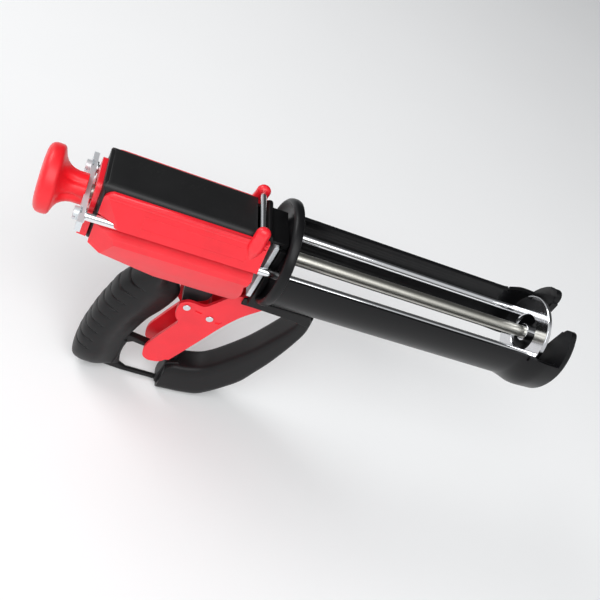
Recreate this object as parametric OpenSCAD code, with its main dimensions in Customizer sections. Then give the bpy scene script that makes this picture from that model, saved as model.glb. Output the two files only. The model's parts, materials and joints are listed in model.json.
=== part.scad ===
// Heavy-duty manual caulking gun for coaxial cartridges.
// The origin is on the cartridge axis, at the seat that the cartridge's rear rim rests on.
// +X points along the barrel to the nozzle, +Z is up and the handle hangs below the housing.

/* [Cradle] */
// Length from the cartridge seat to the outside of the front claws
cradle_len = 222; // [180:1:260]
// Inner radius of the two half shells
cradle_r = 33; // [31.5:0.5:34]
// Wall thickness of the half shells
shell_t = 3; // [2.4:0.2:3.4]
// How far the shells rise above the axis, in degrees
shell_up = 15; // [8:1:25]
// How far the shells reach below the axis, in degrees
shell_down = 50; // [44:1:58]
// Half the width of the nozzle notch in the front wall
notch_half = 12.5; // [9:0.5:15]
// Height of the claw tips above the axis
claw_top = 33; // [26:1:36]
// Outer radius of the rear flange
flange_r = 38; // [37.5:0.5:40]

/* [Rods and pistons] */
// Diameter of the central push rod
rod_d = 9; // [8:0.5:9.5]
// Diameter of each side rod
side_rod_d = 6; // [5:0.5:6]
// Distance of a side rod from the axis
side_rod_y = 23; // [22.9:0.1:23.1]
// Where the rear face of the outer piston stands with the rods pushed forward
piston_x = 203.5; // [190:0.5:205]
// Radius of the outer piston disc
piston_r = 29; // [27:0.5:30]
// Radius of the hole in the outer piston disc
piston_hole_r = 14.5; // [12:0.5:16]
// Thickness of the outer piston disc
piston_t = 3.4; // [2.5:0.1:4]
// Radius of the inner piston
inner_piston_r = 6.6; // [5.5:0.1:9]
// Radius of the pull knob
knob_r = 22.5; // [18:0.5:24]

/* [Housing] */
// Height of the top cover above the axis
top_z = 25.5; // [24:0.5:28]
// Half the width of the top cover
top_half = 19.8; // [19:0.1:20]
// Half the width over the side covers at the rods
side_half = 28; // [27.5:0.5:30]
// Lowest edge of the side covers
bottom_z = -37; // [-38:0.5:-34]
// Where the housing ends at the rear
rear_x = -126; // [-130:1:-122]

/* [Handle and trigger] */
// Lowest face of the handle
base_z = -168; // [-172:1:-164]
// Half the width of the grip
grip_half = 14.5; // [12:0.5:16]
// Half the width of the hand guard
guard_half = 11; // [9:0.5:12]
// Half the outer width of the trigger
trigger_half = 11; // [10.5:0.1:11.2]
// Wall thickness of the trigger
trigger_t = 2.5; // [2:0.1:3]

/* [Hidden] */
$fn = 48;

eps = 0.05;
fit = 0.1;
shell_r = cradle_r + shell_t;

// Front of the cradle: the shells widen, then close in to the front wall
flare_x = cradle_len - 36;
flare_out = 4.5;
front_wall = 5;

// Lengthwise places in the housing
cover_front_x = -30;
side_front_x = -19;
post_x = [-22, -16.4];
post_low = -14;
bulkhead_x = [-9, -5];
frame_half = 18;
wall_in = 15;
skin_t = 3;
rod_slot = [-7, 3.5];
slot_floor = 19.7;
ear = [-26, 28.5];
ear_r = 5;
pin_r = 2;
screw_at = [[-112, 12], [-106, -18], [-40, 12], [-40, -28]];
screw_head_y = [22.6, 24.4];

// Rear of the rod assembly
bar_x = [-134.5, -131.5];
bar_half = 37;
bar_h = 8;
knob_x = [-163, -152];

// Mechanism: pivots in the X-Z plane
trigger_pivot = [-1, -43];
pin_a = [-44, -66];
pin_b = [-25, -71];
lever_pivot = [-24, -30];
crank = [-50, -34];
nose = [-47.4, -9];
nose_r = 3;
small_pin_r = 1.75;
plate_x = [-44, -38];
plate_gap = 0.4;
spring_seat_x = -19.5;
brake_x = -12;
brake_z = 18;
brake_r = 1.6;

// Handle outline: the back of the grip, its front, and the two sides of the hand guard
grip_back = [[-78, -37], [-84, -51], [-90, -61], [-95, -70], [-98, -81], [-101.5, -95], [-104, -109],
             [-106.5, -127], [-107, -144], [-106, -155], [-102, -163], [-95, -168]];
grip_front = [[-58, -37], [-57, -50], [-53, -58], [-50.5, -65], [-52, -73], [-57, -86], [-63, -98],
              [-67, -110], [-70, -122], [-70, -135], [-70, -150], [-68, -168]];
wide_front = [[-59, -37], [-59, -52], [-65, -62], [-66, -75], [-71, -86], [-77, -98], [-81, -110],
              [-84, -122], [-84, -150], [-80, -168]];
guard_out = [[-34, -168], [-10, -168], [-2, -165], [5, -159.5], [25, -134.5], [39.5, -106],
             [50, -71.5], [51, -58], [48, -46]];
guard_in = [[-34, -141], [-30, -136], [-15, -133], [-6, -128], [3, -117], [18, -95], [31, -68],
            [35, -56], [36, -46]];
bar_top = [[-71, -124], [-30, -131]];
bar_t = 6.5;
hook_z = -162.5;
ledge_x = [-11, 45];
ledge_z = [-46, -39];
ledge_half = 14;
pocket_half = 11.6;
web_half = 2.6;
core_half = 6.5;

function moved(points, dx, dz) = [for (p = points) [p[0] + dx, p[1] + dz]];
function reversed(list) = [for (i = [len(list) - 1 : -1 : 0]) list[i]];

// A cylinder along X
module x_rod(x0, x1, r, y = 0, z = 0) {
    translate([x0, y, z]) rotate([0, 90, 0]) cylinder(h = x1 - x0, r = r);
}

// A cylinder along Y at a place in the X-Z plane
module y_pin(at, y0, y1, r) {
    translate([at[0], y1, at[1]]) rotate([90, 0, 0]) cylinder(h = y1 - y0, r = r);
}

// An outline in the X-Z plane, from y0 to y1
module slab(y0, y1) {
    translate([0, y1, 0]) rotate([90, 0, 0]) linear_extrude(y1 - y0) children();
}

// An outline in the Y-Z plane, from x0 to x1
module run(x0, x1) {
    translate([x0, 0, 0]) rotate([90, 0, 90]) linear_extrude(x1 - x0) children();
}

module box(x, y, z) {
    translate([x[0], y[0], z[0]]) cube([x[1] - x[0], y[1] - y[0], z[1] - z[0]]);
}

// A rectangle with round corners, centred
module round_rect(w, h, r) {
    square([w - 2 * r, h], center = true);
    square([w, h - 2 * r], center = true);
    for (sx = [-1, 1]) for (sy = [-1, 1]) translate([sx * (w / 2 - r), sy * (h / 2 - r)]) circle(r);
}

// A coil spring along +X
module coil(x0, x1, r, wire, turns) {
    steps = 14;
    rise = (x1 - x0 - 2 * wire) / (turns * steps);
    sides = 6;
    pts = [for (i = [0 : turns * steps]) for (k = [0 : sides - 1])
        let (a = 360 * i / steps, b = 360 * k / sides, d = r + wire * cos(b))
        [x0 + wire + i * rise + wire * sin(b), d * cos(a), d * sin(a)]];
    last = turns * steps;
    sides_list = [for (i = [0 : last - 1]) for (k = [0 : sides - 1])
        let (n = (k + 1) % sides, p = i * sides, q = p + sides) [p + k, q + k, q + n, p + n]];
    ends = [[for (k = [0 : sides - 1]) k], [for (k = [sides - 1 : -1 : 0]) last * sides + k]];
    polyhedron(points = pts, faces = concat(sides_list, ends));
}

// One half of the cradle on the -Y side: shell, flared end and claw
module half_cradle() {
    wall_x = cradle_len - front_wall;
    module sector(r, from, to) {
        polygon(concat([[0, 0]], [for (a = [from : (to - from) / 12 : to]) r * [cos(a), sin(a)]]));
    }
    run(0, flare_x + eps) intersection() {
        difference() {
            circle(shell_r, $fn = 96);
            circle(cradle_r, $fn = 96);
        }
        sector(2 * shell_r, 180 - shell_up, 180 + shell_down);
    }
    intersection() {
        translate([flare_x, 0, 0]) rotate([0, 90, 0]) rotate_extrude($fn = 96) polygon([
            [cradle_r, 0], [shell_r, 0], [shell_r + 0.4 * flare_out, 7], [shell_r + 0.9 * flare_out, 14],
            [shell_r + flare_out, 20], [shell_r + 0.9 * flare_out, 26], [shell_r + 0.4 * flare_out, 32],
            [shell_r, 36], [0, 36], [0, 36 - front_wall], [cradle_r, 36 - front_wall],
            [cradle_r + 0.7 * flare_out, 28], [cradle_r + flare_out, 20],
            [cradle_r + 0.8 * flare_out, 12], [cradle_r + 0.3 * flare_out, 6]]);
        union() {
            run(flare_x, wall_x) sector(2 * shell_r, 180 - shell_up, 180 + shell_down);
            run(wall_x, cradle_len) difference() {
                translate([-50, -50]) square([50, 50 + claw_top]);
                translate([-notch_half, 0]) square([notch_half + 1, 60]);
                circle(notch_half);
            }
            run(wall_x - 12, wall_x) sector(2 * shell_r, 180 + shell_down, 270);
        }
    }
}

module cradle_right() {
    color("#26262a") half_cradle();
}

module cradle_left() {
    color("#26262a") mirror([0, 1, 0]) half_cradle();
}

// Round plate behind the cartridge, hollowed at the back
module cradle_flange() {
    dish = [22, 31];
    color("#2c2c30") difference() {
        x_rod(bulkhead_x[1], 0, flange_r);
        difference() {
            x_rod(bulkhead_x[1] - 1, -2, dish[1]);
            x_rod(bulkhead_x[1] - 2, 0, dish[0]);
        }
        x_rod(-10, 1, rod_d / 2 + 0.3);
        for (s = [-1, 1]) x_rod(-10, 1, side_rod_d / 2 + 0.3, s * side_rod_y);
    }
}

// Post, neck and bulkhead between the housing and the cradle
module front_frame() {
    neck_half = 16.5;
    neck_z = 22;
    rib_r = 2.5;
    rib_z = 26;
    color("#1c1c1f") difference() {
        union() {
            box(post_x, [-neck_half, neck_half], [post_low, neck_z]);
            box([post_x[0], post_x[0] + 2 * rib_r], [-frame_half, frame_half], [post_low, rib_z - rib_r]);
            y_pin([post_x[0] + rib_r, rib_z - rib_r], -frame_half, frame_half, rib_r);
            box([post_x[1] - eps, bulkhead_x[0] + eps], [-neck_half, neck_half], [19.8, neck_z]);
            box(bulkhead_x, [-neck_half, neck_half], [ledge_z[1], neck_z]);
            box(bulkhead_x, [-19, 19], [ledge_z[1], 17]);
        }
        x_rod(post_x[0] - 1, spring_seat_x, 9.5);
        x_rod(-25, -10, rod_d / 2 + 0.7);
        x_rod(bulkhead_x[0] - 1, 0, rod_d / 2 + 3);
        box([bulkhead_x[0] - 1, 0], [-pocket_half, pocket_half], [ledge_z[1] - 1, ledge_z[1] + 4]);
    }
}

// Outline of the grip, pulled in from the back, up to a given front edge
module grip_outline(back, front) {
    polygon(concat(moved(grip_back, back, 0), reversed(front)));
}

module guard_outline(inset) {
    polygon(concat(moved(guard_out, -inset, inset / 2), reversed(moved(guard_in, inset, -inset / 2))));
}

// Closed D handle: grip, hanging web with its hole, hand guard and the ledge under the cradle
module d_handle() {
    color("#222225") difference() {
        union() {
            slab(-core_half, core_half) grip_outline(0, grip_front);
            slab(-11, 11) grip_outline(2.5, wide_front);
            slab(-grip_half, grip_half) intersection() {
                grip_outline(7, moved(wide_front, -2, 0));
                translate([-130, base_z + 4]) square([100, 140]);
            }
            slab(-7.5, 7.5) guard_outline(0);
            slab(-guard_half, guard_half) guard_outline(2.5);
            slab(-web_half, web_half) {
                polygon([bar_top[0], bar_top[1], bar_top[1] - [0, bar_t], bar_top[0] - [0, bar_t]]);
                translate([-72, base_z]) square([42, hook_z - base_z]);
            }
            box(ledge_x, [-ledge_half, ledge_half], ledge_z);
        }
        box([-20, 14], [-pocket_half, pocket_half], [ledge_z[0] - 1, ledge_z[1] + 1]);
        y_pin(trigger_pivot, -20, 20, pin_r);
        for (x = [-72, -64]) translate([x, 0, -60]) cylinder(h = 30, r = 1.6);
    }
}

// What the raised underside at the rear of the housing takes from the parts inside it
module rear_rise() {
    slab(-40, 40) polygon([[-140, -18.4], [-112, -26], [-84, -34.6], [-84, -60], [-140, -60]]);
}

// Inner frame of the housing: two side walls, a rear floor and the top rail
module chassis() {
    floor_x = [-122, -60];
    color("#1a1a1c") difference() {
        union() {
            for (s = [-1, 1])
                box([-122, post_x[0]], s < 0 ? [-frame_half, -wall_in] : [wall_in, frame_half],
                    [bottom_z + 1, 20]);
            for (s = [-1, 1])
                box([post_x[0] - eps, side_front_x], s < 0 ? [-frame_half, -wall_in] : [wall_in, frame_half],
                    [bottom_z + 1, post_low]);
            box(floor_x, [-frame_half, frame_half], [bottom_z, bottom_z + 4]);
            box([-98, -94], [-frame_half, frame_half], [-32, 20]);
        }
        rear_rise();
        x_rod(-130, -90, rod_d / 2 + 0.5);
        y_pin(lever_pivot, -20, 20, pin_r);
        for (at = screw_at) y_pin(at, wall_in - 1, 20, 1.5);
        for (x = [-72, -64]) translate([x, 0, bottom_z - 1]) cylinder(h = 8, r = 1.6);
    }
}

// Lid of the housing, with the band that runs down the rear edge
module top_cover() {
    lid_z = 20;
    color("#202023") {
        run(rear_x, cover_front_x) difference() {
            intersection() {
                translate([0, 6]) round_rect(2 * top_half, 2 * (top_z - 6), 5);
                translate([-30, lid_z]) square([60, 20]);
            }
            translate([-wall_in, lid_z - 1]) square([2 * wall_in, top_z - skin_t - lid_z + 1]);
        }
        for (s = [-1, 1]) box([rear_x, -122], s < 0 ? [-top_half, -16.5] : [16.5, top_half],
                              [-23, lid_z + eps]);
    }
}

// Side cover on the -Y side, with the open slot for the side rod and the ear for the cross pin
module side_cover() {
    taper = [[rear_x, -21.5], [-110, -side_half - 0.5], [-110, -40], [rear_x - 4, -40]];
    difference() {
        union() {
            run(-122, side_front_x) difference() {
                polygon([[-frame_half, 20], [-20.2, 20], [-21.2, 19], [-side_half, rod_slot[1]],
                         [-side_half, -9], [-25.5, -24], [-20, bottom_z], [-frame_half, bottom_z]]);
                translate([-40, rod_slot[0]]) square([40 - slot_floor, rod_slot[1] - rod_slot[0]]);
            }
            run(-122, cover_front_x) polygon([[-top_half - 0.1, 19.9], [-top_half - 0.1, 24.5],
                                              [-20.6, 24.5], [-21.2, 19.9]]);
            slab(-21.2, -frame_half) {
                translate(ear) circle(ear_r);
                translate([ear[0] - 4, 18]) square([8.5, ear[1] - 18]);
            }
        }
        linear_extrude(100, center = true) polygon(taper);
        slab(-40, 0) polygon([[-130, -21], [-112, -27], [-84, -36], [-84, -60], [-130, -60]]);
        y_pin(ear, -30, 0, pin_r);
    }
}

module right_cover() {
    color("#e8202f") side_cover();
}

module left_cover() {
    color("#e8202f") difference() {
        mirror([0, 1, 0]) side_cover();
        for (at = screw_at) {
            y_pin(at, 17, 40, 1.7);
            y_pin(at, screw_head_y[0], 40, 3.3);
        }
    }
}

// Rear wall with the two feet that the cross bar stops against
module rear_plate() {
    color("#dd1c2b") difference() {
        union() {
            box([rear_x, -122], [-16.4, 16.4], [-34, 19.8]);
            for (s = [-1, 1]) translate([0, s * 14.2, 0]) box([-133, rear_x + eps], [-2.2, 2.2], [-22, -8]);
        }
        rear_rise();
        x_rod(-140, -120, 7.5);
    }
}

module cross_pin() {
    color("#c8ccd0") y_pin(ear, -21.6, 21.6, pin_r);
}

module trigger_pin() {
    color("#c8ccd0") y_pin(trigger_pivot, -ledge_half, ledge_half, pin_r);
}

module lever_pin() {
    color("#c8ccd0") y_pin(lever_pivot, -frame_half, frame_half, pin_r);
}

// Plain bearing with a collar
module bush(x0, x1, r, collar_r) {
    difference() {
        union() {
            x_rod(x0, x1, r);
            x_rod(x0, x0 + 1.5, collar_r);
        }
        x_rod(x0 - 1, x1 + 1, rod_d / 2 + fit / 2);
    }
}

module rear_bush() {
    color("#b8863b") bush(-127.5, -120, 7.5, 9.5);
}

module front_bush() {
    color("#b8863b") difference() {
        x_rod(bulkhead_x[0], bulkhead_x[1], rod_d / 2 + 3);
        x_rod(-12, 0, rod_d / 2 + fit / 2);
    }
}

// Cross-recessed screws that go in from the left, with sunk heads
module cover_screws() {
    color("#9a9da2") for (at = screw_at) difference() {
        union() {
            y_pin(at, wall_in, screw_head_y[1], 1.5);
            y_pin(at, screw_head_y[0], screw_head_y[1], 3);
        }
        translate([at[0], screw_head_y[1], at[1]]) cube([4, 1.4, 0.8], center = true);
        translate([at[0], screw_head_y[1], at[1]]) cube([0.8, 1.4, 4], center = true);
    }
}

module handle_screws() {
    head_z = bottom_z + 4;
    color("#9a9da2") for (x = [-72, -64]) translate([x, 0, -58]) {
        cylinder(h = head_z + 58, r = 1.6);
        translate([0, 0, head_z + 58]) cylinder(h = 1.8, r = 3);
    }
}

module central_rod() {
    color("#8f9296") x_rod(bar_x[1], piston_x + 1, rod_d / 2);
}

// A side rod, turned down where it passes through the cross bar
module side_rod(s) {
    color("#d6d9dd") {
        x_rod(bar_x[1], piston_x, side_rod_d / 2, s * side_rod_y);
        x_rod(bar_x[0], bar_x[1] + eps, 2, s * side_rod_y);
    }
}

module right_rod() {
    side_rod(-1);
}

module left_rod() {
    side_rod(1);
}

// Bar that joins the three rods at the rear
module cross_bar() {
    color("#b9bdc1") difference() {
        run(bar_x[0], bar_x[1]) round_rect(2 * bar_half, bar_h, 1);
        for (s = [-1, 1]) x_rod(-140, -130, 2, s * side_rod_y);
        x_rod(-140, -130, 2.5);
    }
}

// Pull knob: a thick round button on a fluted neck
module pull_knob() {
    neck_r = 10.2;
    edge = 3.5;
    flute_r = 2.6;
    color("#e8202f") difference() {
        translate([bar_x[0], 0, 0]) rotate([0, -90, 0]) union() {
            rotate_extrude($fn = 72) {
                x1 = bar_x[0] - knob_x[1];
                x2 = bar_x[0] - knob_x[0];
                polygon([[2.4, 0], [neck_r, 0], [neck_r, x1 - 12], [neck_r + 1, x1 - 8],
                         [neck_r + 2.5, x1 - 5], [neck_r + 5, x1 - 2.4], [neck_r + 8, x1 - 1],
                         [knob_r, x1 - 0.6], [knob_r, x2 - edge],
                         [knob_r - 1.2, x2 - 1.2], [knob_r - edge, x2 - 0.4],
                         [knob_r - 9, x2], [0, x2], [0, 12], [2.4, 12]]);
            }
        }
        for (i = [0 : 5]) rotate([60 * i, 0, 0]) x_rod(knob_x[1] + 7, -134, flute_r, 0, neck_r + 1);
    }
    color("#b9bdc1") x_rod(bar_x[0] - 12, bar_x[1], 2.4);
}

// Slotted screws that hold the side rods to the cross bar
module rod_screws() {
    head_x = [bar_x[0] - 3.6, bar_x[0]];
    color("#a9adb1") for (s = [-1, 1]) difference() {
        x_rod(head_x[0], head_x[1], 4.2, s * side_rod_y);
        box([head_x[0] - 1, head_x[0] + 1.6], [s * side_rod_y - 5, s * side_rod_y + 5], [-0.7, 0.7]);
    }
}

// Spring clips on the side rods, in front of the cross bar
module rod_clips() {
    color("#d6d9dd") for (s = [-1, 1]) difference() {
        x_rod(bar_x[1], bar_x[1] + 1, 4.8, s * side_rod_y);
        x_rod(-140, -120, side_rod_d / 2, s * side_rod_y);
    }
}

module outer_piston() {
    color("#dfe2e6") difference() {
        x_rod(piston_x, piston_x + piston_t, piston_r, $fn = 96);
        x_rod(piston_x - 1, piston_x + piston_t + 1, piston_hole_r, $fn = 96);
    }
}

// Small piston that the central rod carries
module inner_piston() {
    color("#dfe2e6") difference() {
        x_rod(piston_x - 1, piston_x + 8, inner_piston_r);
        x_rod(piston_x - 2, piston_x + 1, rod_d / 2);
        x_rod(piston_x, piston_x + 9, 2);
    }
}

module piston_nut() {
    color("#a9adb1") {
        x_rod(piston_x + 8, piston_x + 10, 4.5, $fn = 6);
        x_rod(piston_x + 1, piston_x + 8, 2);
    }
}

// Two hardened plates that grip the central rod
module drive_plates() {
    t = (plate_x[1] - plate_x[0] - plate_gap) / 2;
    color("#7d8085") for (x = [plate_x[0], plate_x[1] - t]) difference() {
        run(x, x + t) translate([0, 2]) round_rect(24, 28, 2);
        x_rod(x - 1, x + t + 1, rod_d / 2 + fit / 2);
    }
}

module return_spring() {
    color("#85888c") coil(plate_x[1] + 0.1, spring_seat_x - 0.1, 7.6, 0.7, 5);
}

// Release plate: it tips on the rod and holds it between strokes
module brake_plate() {
    color("#c3c8cd") difference() {
        union() {
            run(brake_x - brake_r, brake_x + brake_r) translate([-19, -30]) square([38, brake_z + 30]);
            y_pin([brake_x, brake_z], -19, 19, brake_r);
        }
        x_rod(-15, -9, rod_d / 2 + 0.45);
    }
}

module brake_spring() {
    color("#85888c") coil(post_x[1] + 0.05, -13.65, 6.2, 0.4, 2);
}

// Trigger: a channel that is open towards the grip
module trigger() {
    front = [[6, -48], [-5, -61], [-14, -77], [-22, -95], [-30, -113], [-37, -128]];
    side = concat(front, [[-42, -133], [-52, -134.5], [-57, -131], [-58.5, -124], [-58, -117], [-51, -99],
                          [-44, -83], [-49, -78], [-50, -70], [-50, -64], [-45, -60], [-40, -60],
                          [-32, -61.5], [-19, -43.5], [-14, -40.5], [-1, -39.4], [3, -42]]);
    color("#e8202f") difference() {
        union() {
            for (s = [-1, 1]) slab(s < 0 ? -trigger_half : trigger_half - trigger_t,
                                   s < 0 ? -trigger_half + trigger_t : trigger_half) polygon(side);
            slab(-trigger_half, trigger_half)
                polygon(concat(front, reversed(moved(front, -trigger_t - 0.8, 0))));
            y_pin(trigger_pivot, -trigger_half, trigger_half, 3.6);
        }
        y_pin(trigger_pivot, -20, 20, pin_r + 0.05);
        for (p = [pin_a, pin_b]) y_pin(p, -20, 20, small_pin_r);
    }
}

module link_pins() {
    color("#d2d5d9") for (p = [pin_a, pin_b]) {
        y_pin(p, -trigger_half, trigger_half, small_pin_r);
        for (s = [-1, 1]) y_pin(p, s > 0 ? trigger_half : -trigger_half - 1,
                                s > 0 ? trigger_half + 1 : -trigger_half, 2.8);
    }
}

// Link from the trigger up to the bell crank
module drive_link() {
    r = 4;
    color("#2a2a2e") difference() {
        slab(-5, 5) {
            translate(pin_a) circle(r);
            translate(crank) circle(r);
            polygon([pin_a + [-r, 0], pin_a + [r, 0], crank + [r, 0], crank + [-r, 0]]);
        }
        y_pin(pin_a, -6, 6, small_pin_r + 0.05);
        y_pin(crank, -6, 6, small_pin_r + 1.2);
    }
}

// Bell crank: the link lifts its rear arm and its two noses push the drive plates
module drive_lever() {
    hub_r = 4.6;
    arm_r = 3.4;
    color("#3a3b40") difference() {
        union() {
            for (s = [-1, 1]) slab(s < 0 ? -9.5 : 6.5, s < 0 ? -6.5 : 9.5) {
                translate(lever_pivot) circle(hub_r);
                translate(crank) circle(arm_r);
                translate(nose) circle(nose_r);
                polygon([lever_pivot + [0, hub_r], crank + [0, arm_r], crank + [0, -arm_r],
                         lever_pivot + [0, -hub_r]]);
                polygon([nose + [-nose_r, 0], nose + [nose_r, 0], [-45.5, -17], lever_pivot + [1, 4.4],
                         crank + [6, 0], crank + [1, 3]]);
            }
            y_pin(lever_pivot, -9.5, 9.5, hub_r);
        }
        y_pin(lever_pivot, -20, 20, pin_r + 0.05);
        y_pin(crank, -20, 20, small_pin_r);
    }
}

module crank_pin() {
    color("#d2d5d9") y_pin(crank, -9.5, 9.5, small_pin_r);
}

cradle_right();
cradle_left();
cradle_flange();
front_frame();
d_handle();
chassis();
top_cover();
right_cover();
left_cover();
rear_plate();
cross_pin();
trigger_pin();
lever_pin();
rear_bush();
front_bush();
cover_screws();
handle_screws();
central_rod();
right_rod();
left_rod();
cross_bar();
pull_knob();
rod_screws();
rod_clips();
outer_piston();
inner_piston();
piston_nut();
drive_plates();
return_spring();
brake_plate();
brake_spring();
trigger();
link_pins();
drive_link();
drive_lever();
crank_pin();
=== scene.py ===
import json
import math

import bmesh
import bpy
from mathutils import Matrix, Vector

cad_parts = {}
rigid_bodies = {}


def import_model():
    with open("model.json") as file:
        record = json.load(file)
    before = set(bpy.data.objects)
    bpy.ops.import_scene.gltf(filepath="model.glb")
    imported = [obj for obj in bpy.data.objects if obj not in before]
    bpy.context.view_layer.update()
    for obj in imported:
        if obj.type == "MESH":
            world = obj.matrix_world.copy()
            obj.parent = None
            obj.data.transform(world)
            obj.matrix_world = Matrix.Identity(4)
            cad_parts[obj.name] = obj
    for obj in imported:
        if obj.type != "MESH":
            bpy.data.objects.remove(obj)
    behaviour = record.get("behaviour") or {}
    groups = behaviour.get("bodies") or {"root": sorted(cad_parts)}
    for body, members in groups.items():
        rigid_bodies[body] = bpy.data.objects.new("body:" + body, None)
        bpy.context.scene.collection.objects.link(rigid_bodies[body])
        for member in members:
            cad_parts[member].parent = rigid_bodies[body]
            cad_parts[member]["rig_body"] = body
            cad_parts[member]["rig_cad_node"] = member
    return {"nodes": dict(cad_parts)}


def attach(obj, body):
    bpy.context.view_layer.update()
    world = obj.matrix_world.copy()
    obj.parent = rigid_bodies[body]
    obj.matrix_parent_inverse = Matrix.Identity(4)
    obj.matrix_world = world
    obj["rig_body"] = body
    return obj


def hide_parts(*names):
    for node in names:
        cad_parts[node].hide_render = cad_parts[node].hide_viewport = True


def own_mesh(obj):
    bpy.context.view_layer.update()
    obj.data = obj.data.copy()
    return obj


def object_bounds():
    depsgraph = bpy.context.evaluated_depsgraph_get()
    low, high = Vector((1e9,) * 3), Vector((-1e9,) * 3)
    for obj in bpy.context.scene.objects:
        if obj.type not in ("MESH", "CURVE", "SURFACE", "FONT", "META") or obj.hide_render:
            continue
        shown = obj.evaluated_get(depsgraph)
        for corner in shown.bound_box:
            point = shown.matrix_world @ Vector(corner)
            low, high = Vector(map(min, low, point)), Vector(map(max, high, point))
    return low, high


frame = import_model()
cad_low, cad_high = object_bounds()
MM = 0.001
SIDE_ROD_Y = 23
CROSS_PIN = (-26, 28.5)
TRIGGER_PIVOT = (-1, -43)
RIVETS = [(-44, -66), (-25, -71)]
CRANK = (-50, -34)

# ---------------------------------------------------------------- bench work


def put_down():
    """Leave edit mode and let go of every piece."""
    if bpy.context.mode != "OBJECT":
        bpy.ops.object.mode_set(mode="OBJECT")
    bpy.ops.object.select_all(action="DESELECT")


def pick_up(piece):
    put_down()
    piece.select_set(True)
    bpy.context.view_layer.objects.active = piece


def open_up(piece, action="SELECT"):
    """Take a piece into edit mode with all or none of it selected."""
    pick_up(piece)
    bpy.ops.object.mode_set(mode="EDIT")
    bpy.ops.mesh.select_mode(type="VERT")
    bpy.ops.mesh.select_all(action=action)


def select_parts(piece, kind, test):
    """In edit mode, select the vertices, edges or faces that pass a test."""
    bpy.ops.mesh.select_mode(type=kind)
    bpy.ops.mesh.select_all(action="DESELECT")
    mesh = bmesh.from_edit_mesh(piece.data)
    mesh.normal_update()
    for part in {"VERT": mesh.verts, "EDGE": mesh.edges, "FACE": mesh.faces}[kind]:
        part.select_set(bool(test(part)))
    mesh.select_flush_mode()
    bmesh.update_edit_mesh(piece.data)


def machine(piece, kind, **settings):
    """Add a modifier with these settings and apply it."""
    pick_up(piece)
    tool = piece.modifiers.new(kind.lower(), kind)
    for name, value in settings.items():
        setattr(tool, name, value)
    bpy.ops.object.modifier_apply(modifier=tool.name)
    return piece


def smooth(piece, angle=38):
    pick_up(piece)
    bpy.ops.object.shade_smooth_by_angle(angle=math.radians(angle))
    return machine(piece, "WEIGHTED_NORMAL", keep_sharp=True)


def soften(piece, width, segments=3, angle=30, smooth_angle=38):
    """Round every edge that turns by more than an angle, then shade the piece."""
    machine(piece, "BEVEL", width=width * MM, segments=segments, limit_method="ANGLE",
            angle_limit=math.radians(angle), miter_outer="MITER_ARC")
    return smooth(piece, smooth_angle)


def round_over(piece, width, segments, test):
    """Round only the edges that pass a test on their two ends, in millimetres."""
    open_up(piece, "DESELECT")
    select_parts(piece, "EDGE", lambda e: test(e.verts[0].co / MM, e.verts[1].co / MM))
    bpy.ops.mesh.bevel(offset=width * MM, segments=segments, affect="EDGES", clamp_overlap=True)
    put_down()
    return piece


def seat(plane, a, b, c):
    """A point from its outline place (a, b) and its place c along the third axis, in millimetres."""
    return Vector({"XZ": (a, c, b), "YZ": (c, a, b), "XY": (a, b, c)}[plane]) * MM


def blank(name, outline, low, high, plane="XZ"):
    """Stock sawn to an outline and pulled out from low to high, in millimetres."""
    put_down()
    bpy.ops.mesh.primitive_circle_add(vertices=len(outline), radius=MM, fill_type="NGON")
    piece = bpy.context.object
    piece.name = name
    for corner, (a, b) in zip(piece.data.vertices, outline):
        corner.co = seat(plane, a, b, low)
    open_up(piece)
    pull = seat(plane, 0, 0, high - low)
    bpy.ops.mesh.extrude_region_move(TRANSFORM_OT_translate={"value": pull})
    bpy.ops.mesh.select_all(action="SELECT")
    bpy.ops.mesh.normals_make_consistent(inside=False)
    put_down()
    return piece


def block(name, x, y, z):
    return blank(name, [(x[0], z[0]), (x[1], z[0]), (x[1], z[1]), (x[0], z[1])], y[0], y[1])


def turned(name, profile, steps=96, y=0, sweep=360, start=0):
    """Lathe work: a closed profile of (x, radius) spun round the X axis, then moved along Y."""
    put_down()
    bpy.ops.mesh.primitive_circle_add(vertices=len(profile), radius=MM, fill_type="NOTHING")
    piece = bpy.context.object
    piece.name = name
    tilt = math.radians(start)
    for corner, (x, r) in zip(piece.data.vertices, profile):
        corner.co = Vector((x, r * math.cos(tilt), r * math.sin(tilt))) * MM
    open_up(piece)
    bpy.ops.mesh.spin(steps=steps, angle=-math.radians(sweep), center=(0, 0, 0), axis=(1, 0, 0))
    bpy.ops.mesh.select_all(action="SELECT")
    bpy.ops.mesh.remove_doubles(threshold=0.002 * MM)
    bpy.ops.mesh.dissolve_degenerate(threshold=0.001 * MM)
    if sweep < 360:
        bpy.ops.mesh.select_all(action="SELECT")
        bpy.ops.mesh.fill_holes(sides=0)
    bpy.ops.mesh.select_all(action="SELECT")
    bpy.ops.mesh.normals_make_consistent(inside=False)
    bpy.ops.transform.translate(value=(0, y * MM, 0))
    put_down()
    return piece


def turned_y(name, at, y0, y1, radius):
    """A round cutter along Y."""
    put_down()
    bpy.ops.mesh.primitive_cylinder_add(
        vertices=40, radius=radius * MM, depth=(y1 - y0) * MM,
        location=(at[0] * MM, (y0 + y1) / 2 * MM, at[1] * MM), rotation=(math.pi / 2, 0, 0))
    piece = bpy.context.object
    piece.name = name
    bpy.ops.object.transform_apply(location=True, rotation=True, scale=True)
    return piece


def pin(name, at, y0, y1, radius, chamfer=0.3):
    """A round pin along Y with chamfered ends."""
    return soften(turned_y(name, at, y0, y1, radius), chamfer, 2, 50)


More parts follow.
